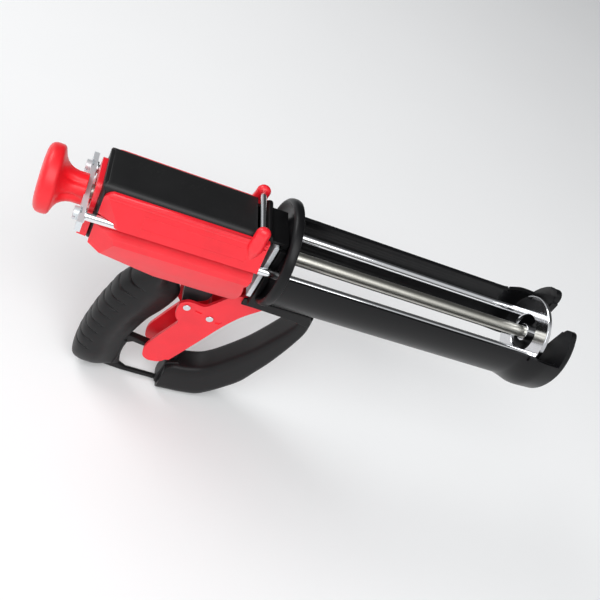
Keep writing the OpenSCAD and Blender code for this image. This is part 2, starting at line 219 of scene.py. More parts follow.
def skinned(name, around, along, place):
    """A closed skin: a grid wrapped into a tube by a place function of (u, v), with both ends filled."""
    put_down()
    bpy.ops.mesh.primitive_grid_add(x_subdivisions=around, y_subdivisions=along, size=MM)
    piece = bpy.context.object
    piece.name = name
    row = around + 1
    for index, vertex in enumerate(piece.data.vertices):
        vertex.co = place((index % row) / around, (index // row) / along) * MM
    open_up(piece)
    bpy.ops.mesh.remove_doubles(threshold=0.002 * MM)
    bpy.ops.mesh.select_all(action="SELECT")
    bpy.ops.mesh.fill_holes(sides=0)
    bpy.ops.mesh.select_all(action="SELECT")
    bpy.ops.mesh.normals_make_consistent(inside=False)
    put_down()
    return piece


def cut(piece, *tools, operation="DIFFERENCE"):
    """Cut away, keep or weld on with other solids, which are used up."""
    for tool in tools:
        machine(piece, "BOOLEAN", object=tool, operation=operation, solver="EXACT")
        bpy.data.objects.remove(tool)
    open_up(piece)
    bpy.ops.mesh.remove_doubles(threshold=0.004 * MM)
    bpy.ops.mesh.dissolve_degenerate(threshold=0.003 * MM)
    put_down()
    return piece


def slice_off(piece, through, normal):
    """Saw a piece flat through a point and drop what lies on the normal's side."""
    open_up(piece)
    bpy.ops.mesh.bisect(plane_co=Vector(through) * MM, plane_no=Vector(normal).normalized(),
                        use_fill=True, clear_outer=True)
    bpy.ops.mesh.select_all(action="SELECT")
    bpy.ops.mesh.normals_make_consistent(inside=False)
    put_down()
    return piece


def mirrored(piece, name):
    """A copy for the other side of the object."""
    pick_up(piece)
    bpy.ops.object.duplicate()
    twin = bpy.context.object
    twin.name = name
    open_up(twin)
    bpy.ops.transform.mirror(constraint_axis=(False, True, False), orient_type="GLOBAL",
                             center_override=(0, 0, 0))
    bpy.ops.mesh.select_all(action="SELECT")
    bpy.ops.mesh.normals_make_consistent(inside=False)
    put_down()
    return twin


def cast_from(node, name):
    """A clean copy of a CAD node: its triangles merged into flat faces, ready for edge work."""
    pick_up(frame["nodes"][node])
    bpy.ops.object.duplicate()
    piece = bpy.context.object
    piece.name = name
    piece.parent = None
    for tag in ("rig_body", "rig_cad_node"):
        if tag in piece:
            del piece[tag]
    piece.data.materials.clear()
    open_up(piece)
    bpy.ops.mesh.customdata_custom_splitnormals_clear()
    bpy.ops.mesh.remove_doubles(threshold=0.003 * MM)
    bpy.ops.mesh.dissolve_limited(angle_limit=math.radians(1.5))
    put_down()
    return piece


def curve_through(points, count):
    """Points at even steps along a smooth line through the given ones."""
    ends = [points[0], *points, points[-1]]
    fine = []
    for i in range(1, len(ends) - 2):
        p0, p1, p2, p3 = (Vector(ends[i + k]) for k in (-1, 0, 1, 2))
        for s in range(16):
            t = s / 16
            fine.append(0.5 * (2 * p1 + (p2 - p0) * t + (2 * p0 - 5 * p1 + 4 * p2 - p3) * t * t
                               + (3 * p1 - p0 - 3 * p2 + p3) * t ** 3))
    fine.append(Vector(points[-1]))
    lengths = [0]
    for a, b in zip(fine, fine[1:]):
        lengths.append(lengths[-1] + (b - a).length)
    made, k = [], 0
    for i in range(count):
        goal = lengths[-1] * i / (count - 1)
        while k < len(fine) - 2 and lengths[k + 1] < goal:
            k += 1
        span = lengths[k + 1] - lengths[k]
        made.append(fine[k].lerp(fine[k + 1], (goal - lengths[k]) / span if span else 0))
    return made


def rounded(corners, radius):
    """An outline with each corner eased by a short curve."""
    steps = 5
    made = []
    for i, corner in enumerate(corners):
        here = Vector(corner)
        before, after = Vector(corners[i - 1]), Vector(corners[(i + 1) % len(corners)])
        reach = min(radius, (before - here).length * 0.45, (after - here).length * 0.45)
        a = here + (before - here).normalized() * reach
        b = here + (after - here).normalized() * reach
        for k in range(steps + 1):
            t = k / steps
            spot = a * (1 - t) ** 2 + here * (2 * t * (1 - t)) + b * t * t
            made.append((spot.x, spot.y))
    return made


def ramp(value, low, high):
    """0 below low, 1 above high and a soft step between."""
    t = min(1, max(0, (value - low) / (high - low)))
    return t * t * (3 - 2 * t)


# ---------------------------------------------------------------- finishes


def new_group(name, inputs, outputs):
    group = bpy.data.node_groups.new(name, "ShaderNodeTree")
    for label, default in inputs:
        kind = "NodeSocketVector" if isinstance(default, tuple) else "NodeSocketFloat"
        socket = group.interface.new_socket(label, in_out="INPUT", socket_type=kind)
        socket.default_value = default
    for label in outputs:
        group.interface.new_socket(label, in_out="OUTPUT", socket_type="NodeSocketFloat")
    return group, group.nodes.new("NodeGroupInput"), group.nodes.new("NodeGroupOutput")


def math_node(tree, operation, a, b=None, clamp=False):
    node = tree.nodes.new("ShaderNodeMath")
    node.operation = operation
    node.use_clamp = clamp
    for socket, value in zip(node.inputs, (a, b)):
        if value is None:
            continue
        if isinstance(value, (int, float)):
            socket.default_value = value
        else:
            tree.links.new(value, socket)
    return node.outputs[0]


def noise_node(tree, vector, scale, detail=3.0, roughness=0.55):
    node = tree.nodes.new("ShaderNodeTexNoise")
    tree.links.new(vector, node.inputs["Vector"])
    for label, value in (("Scale", scale), ("Detail", detail), ("Roughness", roughness)):
        if isinstance(value, (int, float)):
            node.inputs[label].default_value = value
        else:
            tree.links.new(value, node.inputs[label])
    return node.outputs["Fac"]


def stretched_place(tree, scale):
    """Object coordinates, stretched by a scale of one number per axis."""
    place = tree.nodes.new("ShaderNodeTexCoord").outputs["Object"]
    mapping = tree.nodes.new("ShaderNodeMapping")
    tree.links.new(place, mapping.inputs["Vector"])
    if isinstance(scale, tuple):
        mapping.inputs["Scale"].default_value = scale
    else:
        tree.links.new(scale, mapping.inputs["Scale"])
    return mapping.outputs["Vector"]


def make_moulded_grain():
    """Fine spark-eroded grain over a faint waviness, as moulded plastic has."""
    tree, given, made = new_group("moulded_grain", [("Fineness", 1800.0), ("Waviness", 60.0)],
                                  ["Height", "Cloud"])
    place = stretched_place(tree, (1.0, 1.0, 1.0))
    fine = noise_node(tree, place, given.outputs["Fineness"], 2.0, 0.6)
    wave = noise_node(tree, place, given.outputs["Waviness"], 3.0, 0.5)
    height = math_node(tree, "ADD", math_node(tree, "MULTIPLY", fine, 0.7),
                       math_node(tree, "MULTIPLY", wave, 0.3))
    tree.links.new(height, made.inputs["Height"])
    tree.links.new(wave, made.inputs["Cloud"])
    return tree


def make_edge_rub():
    """A mask along worn edges, broken up so that the wear is uneven."""
    tree, given, made = new_group("edge_rub", [("Reach", 0.5), ("Patchiness", 140.0)], ["Mask"])
    eased = tree.nodes.new("ShaderNodeBevel")
    eased.samples = 4
    eased.inputs["Radius"].default_value = 0.5 * MM
    compare = tree.nodes.new("ShaderNodeVectorMath")
    compare.operation = "DOT_PRODUCT"
    tree.links.new(eased.outputs["Normal"], compare.inputs[0])
    tree.links.new(tree.nodes.new("ShaderNodeNewGeometry").outputs["Normal"], compare.inputs[1])
    turn = math_node(tree, "SUBTRACT", 0.985, compare.outputs["Value"])
    edge = math_node(tree, "MULTIPLY", turn, 9.0, clamp=True)
    place = stretched_place(tree, (1.0, 1.0, 1.0))
    patch = noise_node(tree, place, given.outputs["Patchiness"], 4.0, 0.65)
    broken = math_node(tree, "MULTIPLY", math_node(tree, "SUBTRACT", patch, 0.38), 3.0, clamp=True)
    mask = math_node(tree, "MULTIPLY", math_node(tree, "MULTIPLY", edge, broken),
                     given.outputs["Reach"], clamp=True)
    tree.links.new(mask, made.inputs["Mask"])
    return tree


def make_drawn_lines():
    """Long fine lines left by drawing, rolling or turning a metal."""
    tree, given, made = new_group("drawn_lines", [("Stretch", (1.0, 1.0, 1.0))], ["Height", "Tone"])
    place = stretched_place(tree, given.outputs["Stretch"])
    lines = noise_node(tree, place, 1.0, 4.0, 0.7)
    blotch = noise_node(tree, stretched_place(tree, (1.0, 1.0, 1.0)), 90.0, 3.0, 0.6)
    tone = math_node(tree, "ADD", math_node(tree, "MULTIPLY", lines, 0.6),
                     math_node(tree, "MULTIPLY", blotch, 0.4))
    tree.links.new(lines, made.inputs["Height"])
    tree.links.new(tone, made.inputs["Tone"])
    return tree


def make_settled_dust():
    """Sparse specks of dust that lie on faces turned upwards."""
    tree, given, made = new_group("settled_dust", [("Amount", 0.3)], ["Mask"])
    place = stretched_place(tree, (1.0, 1.0, 1.0))
    cells = tree.nodes.new("ShaderNodeTexVoronoi")
    tree.links.new(place, cells.inputs["Vector"])
    cells.inputs["Scale"].default_value = 900.0
    speck = math_node(tree, "LESS_THAN", cells.outputs["Distance"], 0.13)
    area = noise_node(tree, place, 38.0, 2.0, 0.5)
    some = math_node(tree, "MULTIPLY", math_node(tree, "SUBTRACT", area, 0.45), 5.0, clamp=True)
    split = tree.nodes.new("ShaderNodeSeparateXYZ")
    tree.links.new(tree.nodes.new("ShaderNodeNewGeometry").outputs["Normal"], split.inputs[0])
    up = math_node(tree, "MULTIPLY", split.outputs["Z"], 1.2, clamp=True)
    mask = math_node(tree, "MULTIPLY", math_node(tree, "MULTIPLY", speck, some), up)
    mask = math_node(tree, "MULTIPLY", mask, given.outputs["Amount"], clamp=True)
    tree.links.new(mask, made.inputs["Mask"])
    return tree


GRAIN = make_moulded_grain()
RUB = make_edge_rub()
LINES = make_drawn_lines()
DUST = make_settled_dust()


def use(tree, group, **values):
    node = tree.nodes.new("ShaderNodeGroup")
    node.node_tree = group
    for label, value in values.items():
        node.inputs[label].default_value = value
    return node


def mix_colour(tree, mask, first, second):
    node = tree.nodes.new("ShaderNodeMix")
    node.data_type = "RGBA"
    sockets = [s for s in node.inputs if s.type == "RGBA"]
    for socket, value in zip(sockets, (first, second)):
        if isinstance(value, tuple):
            socket.default_value = (*value, 1)
        else:
            tree.links.new(value, socket)
    tree.links.new(mask, node.inputs[0])
    return [s for s in node.outputs if s.type == "RGBA"][0]


def spread(tree, value, low, high):
    """Turn a mask from 0 to 1 into a value from low to high."""
    node = tree.nodes.new("ShaderNodeMapRange")
    tree.links.new(value, node.inputs["Value"])
    node.inputs["To Min"].default_value = low
    node.inputs["To Max"].default_value = high
    return node.outputs["Result"]


DUST_COLOUR = (0.62, 0.6, 0.57)
RUBBED_METAL = (0.75, 0.75, 0.76)


def new_finish(name):
    finish = bpy.data.materials.new(name)
    finish.use_nodes = True
    tree = finish.node_tree
    tree.nodes.clear()
    shader = tree.nodes.new("ShaderNodeBsdfPrincipled")
    output = tree.nodes.new("ShaderNodeOutputMaterial")
    tree.links.new(shader.outputs["BSDF"], output.inputs["Surface"])
    return finish, tree, shader


def raise_surface(tree, shader, height, strength, distance):
    bump = tree.nodes.new("ShaderNodeBump")
    bump.inputs["Strength"].default_value = strength
    bump.inputs["Distance"].default_value = distance * MM
    tree.links.new(height, bump.inputs["Height"])
    tree.links.new(bump.outputs["Normal"], shader.inputs["Normal"])


def plastic(name, colour, worn, rough, fineness=1500.0, depth=0.05, rub=0.4, dust=0.25, coat=0.0,
            shine=0.5):
    finish, tree, shader = new_finish(name)
    grain = use(tree, GRAIN, Fineness=fineness, Waviness=60.0)
    edge = use(tree, RUB, Reach=rub)
    specks = use(tree, DUST, Amount=dust)
    deep = tuple(c * 0.82 for c in colour)
    base = mix_colour(tree, grain.outputs["Cloud"], deep, tuple(min(1, c * 1.12) for c in colour))
    base = mix_colour(tree, edge.outputs["Mask"], base, worn)
    base = mix_colour(tree, specks.outputs["Mask"], base, DUST_COLOUR)
    tree.links.new(base, shader.inputs["Base Color"])
    tree.links.new(spread(tree, grain.outputs["Cloud"], rough - 0.07, rough + 0.07),
                   shader.inputs["Roughness"])
    shader.inputs["Specular IOR Level"].default_value = shine
    shader.inputs["Coat Weight"].default_value = coat
    shader.inputs["Coat Roughness"].default_value = 0.18
    raise_surface(tree, shader, grain.outputs["Height"], 0.35, depth)
    return finish


def metal(name, colour, tarnish, rough, stretch, depth=0.01, strength=0.25, rub=0.0, share=1.0):
    finish, tree, shader = new_finish(name)
    lines = use(tree, LINES, Stretch=stretch)
    base = mix_colour(tree, lines.outputs["Tone"], tarnish, colour)
    if rub:
        edge = use(tree, RUB, Reach=rub)
        base = mix_colour(tree, edge.outputs["Mask"], base, RUBBED_METAL)
    tree.links.new(base, shader.inputs["Base Color"])
    tree.links.new(spread(tree, lines.outputs["Tone"], rough * 1.35, rough * 0.65),
                   shader.inputs["Roughness"])
    shader.inputs["Metallic"].default_value = share
    raise_surface(tree, shader, lines.outputs["Height"], strength, depth)
    return finish


FINISH = {
    "black_shell": plastic("satin_black_shell", (0.005, 0.005, 0.0057), (0.03, 0.03, 0.033), 0.34,
                           fineness=1400.0, depth=0.03, rub=0.5, dust=0.1, shine=0.24),
    "black_frame": plastic("filled_black_plastic", (0.003, 0.003, 0.0035), (0.02, 0.02, 0.024), 0.42,
                           fineness=1100.0, depth=0.05, dust=0.1, shine=0.3),
    "black_grip": plastic("matt_black_grip", (0.0075, 0.0073, 0.008), (0.035, 0.035, 0.04), 0.44,
                          fineness=900.0, depth=0.07, dust=0.12, shine=0.27),
    "black_cover": plastic("grained_black_cover", (0.0095, 0.0095, 0.01), (0.03, 0.03, 0.033), 0.42,
                          fineness=1200.0, depth=0.06, dust=0.12, shine=0.38),
    "red_cover": plastic("bright_red_cover", (0.93, 0.012, 0.026), (1.0, 0.16, 0.17), 0.34,
                         fineness=1700.0, depth=0.02, rub=0.35, dust=0.1, coat=0.3),
    "red_knob": plastic("bright_red_knob", (0.93, 0.012, 0.022), (1.0, 0.2, 0.2), 0.4,
                        fineness=1500.0, depth=0.03, rub=0.4, dust=0.1, coat=0.08),
    "red_trigger": plastic("bright_red_trigger", (0.94, 0.015, 0.03), (1.0, 0.2, 0.2), 0.36,
                           fineness=1600.0, depth=0.02, rub=0.4, dust=0.08, coat=0.12),
    "bright_steel": metal("polished_steel", (0.84, 0.85, 0.87), (0.66, 0.67, 0.69), 0.18,
                          (900.0, 60.0, 900.0)),
    "zinc_steel": metal("zinc_plated_steel", (0.8, 0.84, 0.86), (0.62, 0.66, 0.69), 0.42,
                        (500.0, 45.0, 500.0), depth=0.02, rub=0.3, share=0.45),
    "ground_steel": metal("ground_rod_steel", (0.66, 0.65, 0.6), (0.36, 0.35, 0.31), 0.36,
                          (1500.0, 220.0, 220.0), depth=0.015, strength=0.35),
    "chromed_rod": metal("hard_chrome", (0.9, 0.91, 0.93), (0.78, 0.79, 0.81), 0.07,
                         (12.0, 260.0, 260.0), depth=0.001, strength=0.04),
    "chromed_piston": metal("turned_chrome", (0.88, 0.89, 0.91), (0.7, 0.71, 0.73), 0.11,
                            (800.0, 120.0, 120.0), depth=0.004, strength=0.15),
    "hard_steel": metal("oiled_hard_steel", (0.34, 0.34, 0.35), (0.16, 0.15, 0.15), 0.38,
                        (500.0, 60.0, 500.0), depth=0.02),
    "spring_steel": metal("spring_wire", (0.5, 0.5, 0.52), (0.28, 0.28, 0.29), 0.3,
                          (700.0, 700.0, 700.0)),
    "bronze": metal("sintered_bronze", (0.6, 0.42, 0.2), (0.36, 0.24, 0.12), 0.42,
                    (900.0, 900.0, 900.0), depth=0.03),
}


def make_dark_link():
    """Black phosphated steel that shines through where it rubs."""
    finish, tree, shader = new_finish("phosphated_link_steel")
    grain = use(tree, GRAIN, Fineness=1300.0, Waviness=90.0)
    edge = use(tree, RUB, Reach=0.8)
    base = mix_colour(tree, edge.outputs["Mask"], (0.03, 0.03, 0.033), (0.35, 0.35, 0.36))
    tree.links.new(base, shader.inputs["Base Color"])
    shader.inputs["Metallic"].default_value = 0.6
    tree.links.new(spread(tree, grain.outputs["Cloud"], 0.35, 0.5), shader.inputs["Roughness"])
    raise_surface(tree, shader, grain.outputs["Height"], 0.3, 0.04)
    return finish


FINISH["dark_link"] = make_dark_link()


def dress(piece, body, slot, *nodes):
    """Give a finished piece its material and the body it moves with, and hide the CAD nodes it stands
    for.
    """
    piece.data.materials.clear()
    piece.data.materials.append(FINISH[slot])
    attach(piece, body)
    if nodes:
        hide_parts(*nodes)
    return piece


# ---------------------------------------------------------------- cradle

CRADLE_LEN = 222
WALL_X = 217
SHELL_IN = 33.0
SHELL_OUT = 36.0
FLARE_X = 186


def bulge(x):
    """How far the shell stands out at a place along its flared end."""
    t = (x - FLARE_X) / (CRADLE_LEN - FLARE_X)
    if t <= 0:
        return 0.0
    return 4.4 * ramp(t, 0.0, 0.6) * (1 - 0.1 * ramp(t, 0.6, 1.05))


def make_cradle_shell():
    flare = [FLARE_X + i * 1.5 for i in range(21)]
    outside = [(0.2, SHELL_OUT), (60, SHELL_OUT), (120, SHELL_OUT), (160, SHELL_OUT)]
    outside += [(x, SHELL_OUT + bulge(x)) for x in flare]
    outside += [(WALL_X + 1.5, SHELL_OUT + bulge(WALL_X + 1.5)), (220.6, SHELL_OUT + bulge(220.6)),
                (221.6, SHELL_OUT + 3.3), (CRADLE_LEN, SHELL_OUT + 2.4), (CRADLE_LEN, 3)]
    inside = [(WALL_X, 3), (WALL_X, SHELL_IN + 0.5)]
    inside += [(x, SHELL_IN + 0.92 * bulge(x)) for x in reversed(flare[:-1])]
    inside += [(160, SHELL_IN), (120, SHELL_IN), (60, SHELL_IN), (0.2, SHELL_IN)]
    shell = turned("near_cradle_shell", outside + inside, steps=72, sweep=174, start=96)

    def wedge(name, low, high, start, end):
        spots = [(0, 0)] + [(60 * math.cos(math.radians(a)), 60 * math.sin(math.radians(a)))
                            for a in range(start, end + 1, 5)]
        return blank(name, spots, low, high, "YZ")

    notch = [(20, 60), (-15.2, 60), (-14.6, 27), (-12.5, 0)]
    notch += [(12.5 * math.cos(math.radians(a)), 12.5 * math.sin(math.radians(a)))
              for a in range(185, 300, 5)] + [(20, -10)]
    claw_end = [(20, 24.4), (-15.6, 24.4), (-15.8, 26.8), (-16.8, 29.2), (-18.6, 30.9), (-21.0, 31.6),
                (-23.6, 31.2), (-25.8, 29.8), (-27.4, 27.6), (-42, 40), (-42, 70), (20, 70)]
    cut(shell,
        wedge("above_shell", -5, WALL_X - 0.01, 80, 165),
        wedge("below_shell", -5, WALL_X - 0.01, 230, 300),
        blank("notch", notch, 200, 240, "YZ"),
        blank("above_claw", claw_end, 205, 240, "YZ"),
        block("edge_slit", (191.4, 193.2), (-45, -25), (6.4, 14)))
    open_up(shell)
    bpy.ops.mesh.dissolve_limited(angle_limit=math.radians(0.4))
    put_down()
    soften(shell, 0.7, 3, 34)
    return shell


near_shell = make_cradle_shell()
far_shell = mirrored(near_shell, "far_cradle_shell")
dress(near_shell, "frame", "black_shell", "cradle_right")
dress(far_shell, "frame", "black_shell", "cradle_left")


def make_flange():
    profile = [(0, 6), (0, 36.6), (-0.5, 37.6), (-1.6, 37.95), (-3.6, 37.95), (-5.4, 37.5), (-6.6, 36.4),
               (-7.0, 35.2), (-6.6, 34.2), (-5.6, 33.4), (-4.2, 32), (-3.4, 29.5), (-3.2, 26),
               (-3.6, 23.4), (-4.6, 21.6), (-5, 20), (-5, 6)]
    flange = turned("cradle_flange_plate", profile, steps=120)
    bore = [(-20, 0), (-20, 3.3), (10, 3.3), (10, 0)]
    tools = [turned(f"rod_hole_{s}", bore, 40, y=SIDE_ROD_Y * s) for s in (-1, 1)]
    cut(flange, *tools)
    return soften(flange, 0.4, 3, 40)


dress(make_flange(), "frame", "black_shell", "cradle_flange")

# ---------------------------------------------------------------- frame between housing and cradle


def make_front_frame():
    piece = cast_from("front_frame", "front_post_and_bulkhead")
    return soften(piece, 0.8, 3, 40)


dress(make_front_frame(), "frame", "black_frame", "front_frame")

# ---------------------------------------------------------------- housing

LID_REAR = -126.9
HOUSE_REAR = -124.3
HOUSE_FRONT = -18.4


def make_top_cover():
    lid = block("housing_lid", (LID_REAR, -28.6), (-19.8, 19.8), (2, 25.5))
    round_over(lid, 4.6, 8, lambda a, b: min(a.z, b.z) > 25 and (
        abs(a.x - b.x) > 50 or max(a.x, b.x) < LID_REAR + 0.1))
    arch = [(-21.3, -17.5), (-21.3, 17.2), (-20.9, 19.8), (-19.6, 22.2), (-17.4, 24.2), (-14.6, 25.2),
            (14.6, 25.2), (17.4, 24.2), (19.6, 22.2), (20.9, 19.8), (21.3, 17.2), (21.3, -17.5),
            (20.2, -19.6), (16.6, -19.6), (16.6, 17), (14.6, 19.9), (-14.6, 19.9), (-16.6, 17),
            (-16.6, -19.6), (-20.2, -19.6)]
    band = blank("rear_band", arch, LID_REAR, HOUSE_REAR, "YZ")
    machine(band, "BEVEL", width=0.6 * MM, segments=3, limit_method="ANGLE",
            angle_limit=math.radians(50))
    cut(lid, block("lid_hollow", (-124, -20), (-17, 17), (-5, 22.6)))
    cut(lid, block("rear_window", (-130, -120), (-16.6, 16.6), (-5, 19.9)))
    cut(lid, band, operation="UNION")
    turn, half = 4.5, 21.3
    for side in (-1, 1):
        corner = [(LID_REAR + turn - turn * math.cos(a), side * (half - turn + turn * math.sin(a)))
                  for a in (math.radians(10 * i) for i in range(10))]
        corner += [(LID_REAR + turn, side * 25), (LID_REAR - 2, side * 25),
                   (LID_REAR - 2, side * (half - turn))]
        cut(lid, blank(f"plan_corner_{side}", corner, -25, 30, "XY"))
    return soften(lid, 0.35, 3, 40)


dress(make_top_cover(), "frame", "black_cover", "top_cover")


def make_side_cover():
    section = [(-18, 22.2), (-20.9, 22.5), (-21.6, 22.3), (-22.1, 21.7), (-22.3, 20.8), (-22.2, 20.2),
               (-22.6, 19.6), (-22.85, 18.6), (-22.8, 18.0), (-23.2, 17.3), (-28.35, 0.8), (-26.8, 0.8),
               (-26.4, 3.4), (-20.6, 3.4), (-19.7, 2.4), (-19.7, -2.8), (-20.6, -3.9), (-27.7, -8.1),
               (-28.6, -12.2), (-25.8, -24), (-20.6, -36), (-19.4, -37), (-18, -37)]
    cover = blank("near_side_cover", section, HOUSE_REAR, HOUSE_FRONT, "YZ")
    slice_off(cover, (HOUSE_REAR, -21.4, 0), (-6.9, -14.4, 0))
    slice_off(cover, (-130, 0, -20.8), (-8.1, 0, -28))
    rear, top, turn = HOUSE_REAR, 22.5, 6.5
    corner = [(rear - 2, top + 2), (rear - 2, top - turn)]
    corner += [(rear + turn - turn * math.cos(a), top - turn + turn * math.sin(a))
               for a in (math.radians(9 * i) for i in range(11))]
    cut(cover, blank("rear_top_corner", [*corner, (rear + turn, top + 2)], -40, -10))
    nose = [(-14, -3), (-18.35, -3), (-18.5, -8), (-19.6, -12.2), (-21.4, -15), (-20.4, -18),
            (-19.4, -24), (-19.4, -30), (-20.6, -34), (-24, -40), (-14, -40)]
    cut(cover, blank("nose_trim", nose, -40, -19.8))
    arm_top = Vector((-26, -21.2, 28.6))
    arm_end = Vector((-26.8, -23.7, 8.2))
    size = 4.9

    def arm_place(u, v):
        run = arm_end - arm_top
        direction = run.normalized()
        side = direction.cross(Vector((1, 0, 0))).normalized()
        other = direction.cross(side)
        along = -1 + v * (1 + run.length / size)
        radius = size * (1 + 0.12 * ramp(v, 0.3, 0.7) - 0.55 * ramp(v, 0.62, 1.0))
        if along < 0:
            radius *= math.sqrt(max(0.0, 1 - along * along))
        angle = u * math.tau
        return (arm_top + direction * along * size
                + (side * math.cos(angle) * 0.82 + other * math.sin(angle)) * max(radius, 0.02))

    arm = skinned("cross_pin_arm", 44, 40, arm_place)
    slice_off(arm, (0, -18.2, 0), (0, 1, 0))
    cut(cover, arm, operation="UNION")
    cut(cover, turned_y("pin_socket", CROSS_PIN, -21.7, -10, 2.02))
    return soften(cover, 0.6, 4, 24, 30)


def make_border():
    """A thin raised border on the big facet of a side cover."""
    low, high = Vector((0, -28.35, 0.8)), Vector((0, -23.2, 17.3))
    across = (high - low).normalized()
    out = Vector((0, -across.z, across.y))
    put_down()
    bpy.ops.mesh.primitive_plane_add(size=MM)
    border = bpy.context.object
    border.name = "near_cover_border"
    for corner, (x, t) in zip(border.data.vertices, [(-98, 0.3), (-29, 0.3), (-98, 0.84), (-29, 0.84)]):
        spot = low.lerp(high, t) + out * -0.2
        corner.co = Vector((x, spot.y, spot.z)) * MM
    open_up(border)
    bpy.ops.mesh.inset(thickness=0.55 * MM, use_even_offset=True)
    bpy.ops.mesh.delete(type="FACE")
    bpy.ops.mesh.select_all(action="SELECT")
    bpy.ops.mesh.extrude_region_move(TRANSFORM_OT_translate={"value": out * 0.38 * MM})
    bpy.ops.mesh.select_all(action="SELECT")
    bpy.ops.mesh.normals_make_consistent(inside=False)
    put_down()
    return soften(border, 0.12, 2, 40)


near_cover = make_side_cover()
far_cover = mirrored(near_cover, "far_side_cover")
near_border = make_border()
far_border = mirrored(near_border, "far_cover_border")
SCREW_AT = [(-112, 12), (-106, -18), (-40, 12), (-40, -28)]
cut(far_cover, *[turned_y(f"screw_well_{i}", at, 22.6, 40, 3.4) for i, at in enumerate(SCREW_AT)])
smooth(far_cover, 30)
dress(near_cover, "frame", "red_cover", "right_cover")
dress(far_cover, "frame", "red_cover", "left_cover")
dress(near_border, "frame", "red_cover")
dress(far_border, "frame", "red_cover")


def make_rear_plate():
    plate = cast_from("rear_plate", "rear_plate_with_feet")
    panel = blank("rear_panel", rounded([(-16.4, -19), (16.4, -19), (16.4, 14), (13, 19.8), (-13, 19.8),
                                         (-16.4, 14)], 3), -130.0, -122.8, "YZ")
    gusset = [(-126.6, -3.5), (-129.6, -4.5), (-132.8, -15.2), (-132.5, -17.8), (-126.6, -18.4)]
    cut(panel, *[blank(f"foot_{i}", gusset, *sorted((i * 15.4, i * 21.2))) for i in (-1, 1)],
        operation="UNION")
    hole = turned("panel_hole", [(-140, 0), (-140, 9.6), (-110, 9.6), (-110, 0)], 48)
    cut(panel, hole)
    cut(plate, panel, operation="UNION")
    return soften(plate, 0.7, 3, 34)


dress(make_rear_plate(), "frame", "red_cover", "rear_plate")
dress(pin("ear_cross_pin", CROSS_PIN, -21.6, 21.6, 2.0, 0.4), "frame", "bright_steel", "cross_pin")
dress(pin("trigger_pivot_pin", TRIGGER_PIVOT, -12.6, 12.6, 2.0, 0.4), "frame", "bright_steel",
      "trigger_pin")

# ---------------------------------------------------------------- handle

GRIP_BACK = [(-78, -37), (-84, -51), (-90, -61), (-95, -70), (-98, -81), (-101.5, -95),
             (-104, -109), (-106.5, -127), (-107, -144), (-106, -155), (-102, -163), (-96, -167.6)]
GRIP_FRONT = [(-58, -37), (-57, -50), (-53, -58), (-50.5, -65), (-52, -73), (-57, -86), (-63, -98),
              (-67, -110), (-70, -122), (-70.5, -135), (-70, -150), (-66, -168)]
GUARD_OUT = [(45, -42), (46, -50), (46.4, -60), (44.5, -72), (41.5, -86), (36.5, -104), (31, -119),
             (25, -134.5),
             (15, -148), (5, -159), (-2, -164.6), (-11, -166.6), (-22, -167.6), (-36, -167.8)]
GUARD_IN = [(36, -44), (35, -56), (31, -68), (26, -79), (18, -95), (11, -106), (3, -117),
            (-3, -124.5), (-9, -130), (-15, -133), (-22, -134.8), (-30, -136), (-36, -141)]
GROOVES = [(-77, -59), (-81, -68), (-85, -78), (-88, -87), (-91, -97), (-93, -107), (-95, -116),
           (-96, -126), (-97, -136)]


def edge_at(points, z):
    """Where an edge of the grip stands at a height."""
    for (x0, z0), (x1, z1) in zip(points, points[1:]):
        if z1 <= z <= z0:
            return x0 + (x1 - x0) * (z0 - z) / (z0 - z1)
    return points[-1][0] if z < points[-1][1] else points[0][0]


def make_grip():
    back = [(p.x, p.y) for p in curve_through(GRIP_BACK, 90)]
    front = [(p.x, p.y) for p in curve_through(GRIP_FRONT, 90)]
    top, foot = -37.3, -162.6

    def place(u, v):
        z = top + (foot - top) * v
        x0, x1 = edge_at(back, z), edge_at(front, z)
        end_round = min(1.0, (z - foot + 0.2) / 25.0)
        pull = 1 - math.sqrt(max(0.0, 1 - (1 - end_round) ** 2)) if end_round < 1 else 0.0
        angle = u * math.tau
        c, s = math.cos(angle), math.sin(angle)
        depth = (x1 - x0) / 2
        power = 0.78
        x = (x0 + x1) / 2 - depth * math.copysign(abs(c) ** power, c)
        share = (x - x0) / (x1 - x0)
        wide = (14.4 - 8.2 * ramp(share, 0.42, 0.92)) * max(0.04, 1 - pull)
        y = wide * math.copysign(abs(s) ** 0.72, s)
        sink = 0.0
        for gx, gz in GROOVES:
            reach = 1 - ramp(x, gx - 3.0, gx + 0.5)
            gap = abs(z - gz + 0.02 * (x - gx))
            sink = max(sink, 1.5 * reach * math.exp(-((gap / 0.6) ** 2)))
            if gap < 5:
                sink = max(sink, 0.28 * reach * (1 - gap / 5) ** 2 if gap > 0.6 else sink)
        centre = Vector(((x0 + x1) / 2 - depth * 0.25, 0, z))
        inward = (centre - Vector((x, y, z))).normalized()
        return Vector((x, y, z)) + inward * sink

    return skinned("ribbed_grip", 72, 330, place)


def make_guard():
    count = 96
    outer, inner = curve_through(GUARD_OUT, count + 1), curve_through(GUARD_IN, count + 1)

    def place(u, v):
        k = min(count, round(v * count))
        o, i = Vector((outer[k].x, 0, outer[k].y)), Vector((inner[k].x, 0, inner[k].y))
        middle, half = (o + i) / 2, (o - i) / 2
        angle = u * math.tau
        c, s = math.cos(angle), math.sin(angle)
        reach = math.copysign(abs(c) ** 0.42, c)
        wide = 11.6 - 2.2 * max(0.0, c) ** 3
        y = wide * math.copysign(abs(s) ** 0.36, s)
        return middle + half * reach + Vector((0, y, 0))

    return skinned("hand_guard", 48, count, place)


